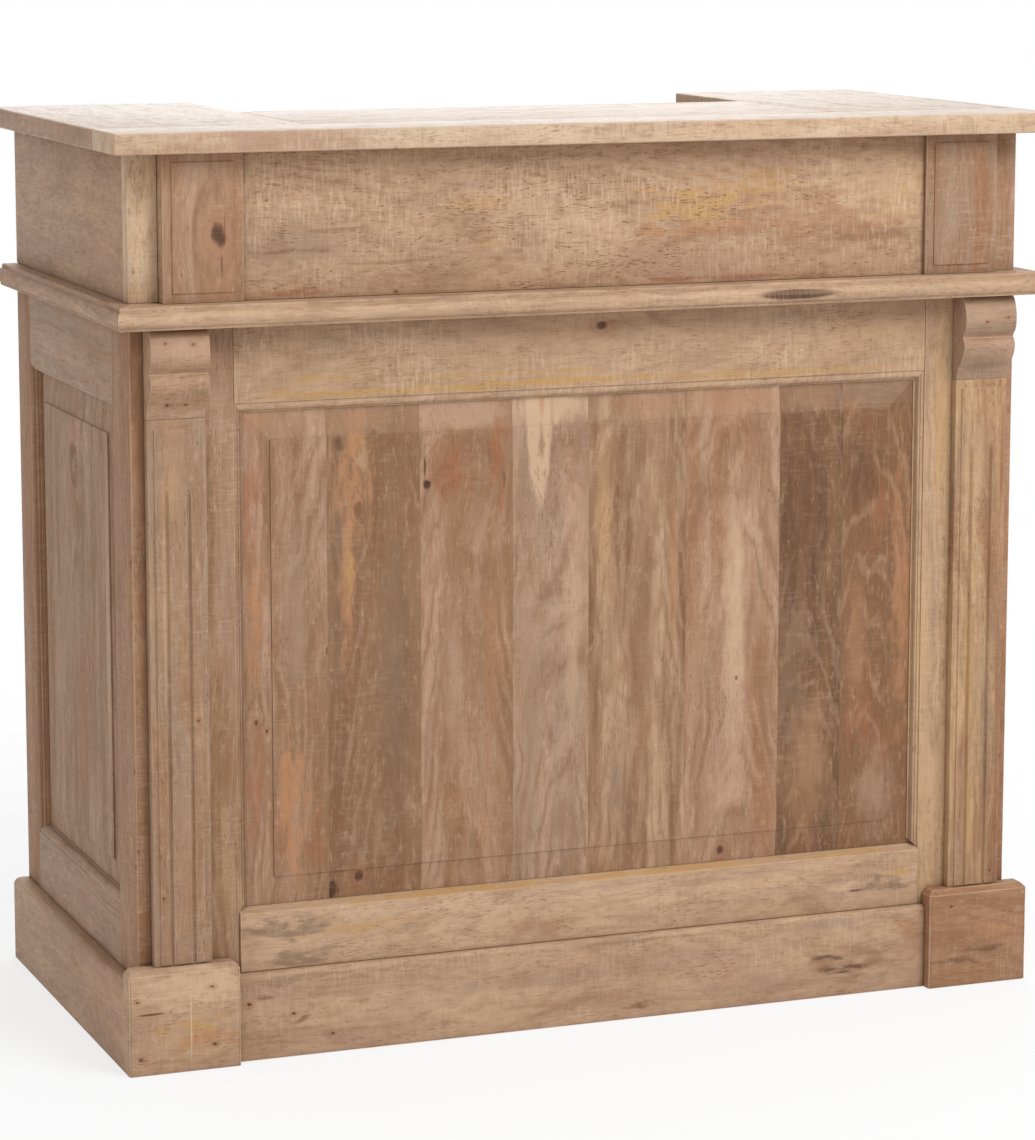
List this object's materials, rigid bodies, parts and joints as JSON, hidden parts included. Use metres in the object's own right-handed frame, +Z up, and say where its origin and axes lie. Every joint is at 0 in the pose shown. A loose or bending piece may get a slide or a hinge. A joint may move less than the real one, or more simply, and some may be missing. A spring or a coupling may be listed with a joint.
{
  "type": "bar cabinet",
  "caption": "Free-standing home bar counter in limed solid wood: panelled front, fluted pilasters, carved corbels, U-shaped top, drawers and cupboards behind.",
  "frame": {"origin": "on the floor under the middle of the counter's outline", "axes": "+X to the customer's right as they face the front, -Y towards the customer, +Y towards the working side, +Z up"},
  "size_m": [1.2, 0.59, 1.11],
  "materials": {
    "limed_mango_wood": "rough-sawn solid wood, limed and waxed, matte",
    "inner_mango_wood": "planed solid wood, lightly oiled, matte",
    "aged_brass": "dull aged brass"
  },
  "bodies": {
    "carcass": {"top_front_board": "limed_mango_wood", "top_centre_board": "limed_mango_wood", "top_wing_left": "limed_mango_wood", "top_wing_right": "limed_mango_wood", "frieze_board": "limed_mango_wood", "frieze_block_left": "limed_mango_wood", "frieze_block_right": "limed_mango_wood", "upper_corner_strip_left": "limed_mango_wood", "upper_corner_strip_right": "limed_mango_wood", "upper_side_left": "limed_mango_wood", "upper_side_right": "limed_mango_wood", "wing_inner_side_left": "limed_mango_wood", "wing_inner_side_right": "limed_mango_wood", "worktop": "limed_mango_wood", "cornice_front": "limed_mango_wood", "cornice_left": "limed_mango_wood", "cornice_right": "limed_mango_wood", "front_stile_left": "limed_mango_wood", "front_stile_right": "limed_mango_wood", "front_top_rail": "limed_mango_wood", "front_bottom_rail": "limed_mango_wood", "front_panel": "limed_mango_wood", "pilaster_left": "limed_mango_wood", "pilaster_right": "limed_mango_wood", "corbel_left": "limed_mango_wood", "corbel_right": "limed_mango_wood", "base_block_left": "limed_mango_wood", "base_block_right": "limed_mango_wood", "front_baseboard": "limed_mango_wood", "side_plinth_left": "limed_mango_wood", "side_plinth_right": "limed_mango_wood", "side_frame_left": "limed_mango_wood", "side_frame_right": "limed_mango_wood", "side_panel_left": "limed_mango_wood", "side_panel_right": "limed_mango_wood", "back_baseboard": "inner_mango_wood", "bottom_board": "inner_mango_wood", "partition_left": "inner_mango_wood", "partition_right": "inner_mango_wood", "centre_shelf": "inner_mango_wood", "hinge_frame_leaf_left_lower": "aged_brass", "hinge_frame_leaf_left_upper": "aged_brass", "hinge_frame_leaf_right_lower": "aged_brass", "hinge_frame_leaf_right_upper": "aged_brass"},
    "left_door": {"door_frame_left": "limed_mango_wood", "door_panel_left": "limed_mango_wood", "door_knob_left": "aged_brass", "hinge_door_leaf_left_lower": "aged_brass", "hinge_door_leaf_left_upper": "aged_brass"},
    "right_door": {"door_frame_right": "limed_mango_wood", "door_panel_right": "limed_mango_wood", "door_knob_right": "aged_brass", "hinge_door_leaf_right_lower": "aged_brass", "hinge_door_leaf_right_upper": "aged_brass"},
    "left_drawer": {"drawer_front_left": "limed_mango_wood", "drawer_tray_left": "inner_mango_wood", "drawer_knob_left": "aged_brass"},
    "right_drawer": {"drawer_front_right": "limed_mango_wood", "drawer_tray_right": "inner_mango_wood", "drawer_knob_right": "aged_brass"}
  },
  "joints": [
    {"name": "left_door_hinge", "type": "hinge", "parent": "carcass", "child": "left_door", "pos_m": [-0.5472, 0.2733, 0.5], "axis": [0, 0, 1], "range_deg": [0, 90]},
    {"name": "right_door_hinge", "type": "hinge", "parent": "carcass", "child": "right_door", "pos_m": [0.5472, 0.2733, 0.5], "axis": [0, 0, -1], "range_deg": [0, 90]},
    {"name": "left_drawer_slide", "type": "slide", "parent": "carcass", "child": "left_drawer", "axis": [0, 1, 0], "range_m": [0, 0.3]},
    {"name": "right_drawer_slide", "type": "slide", "parent": "carcass", "child": "right_drawer", "axis": [0, 1, 0], "range_m": [0, 0.3]}
  ]
}
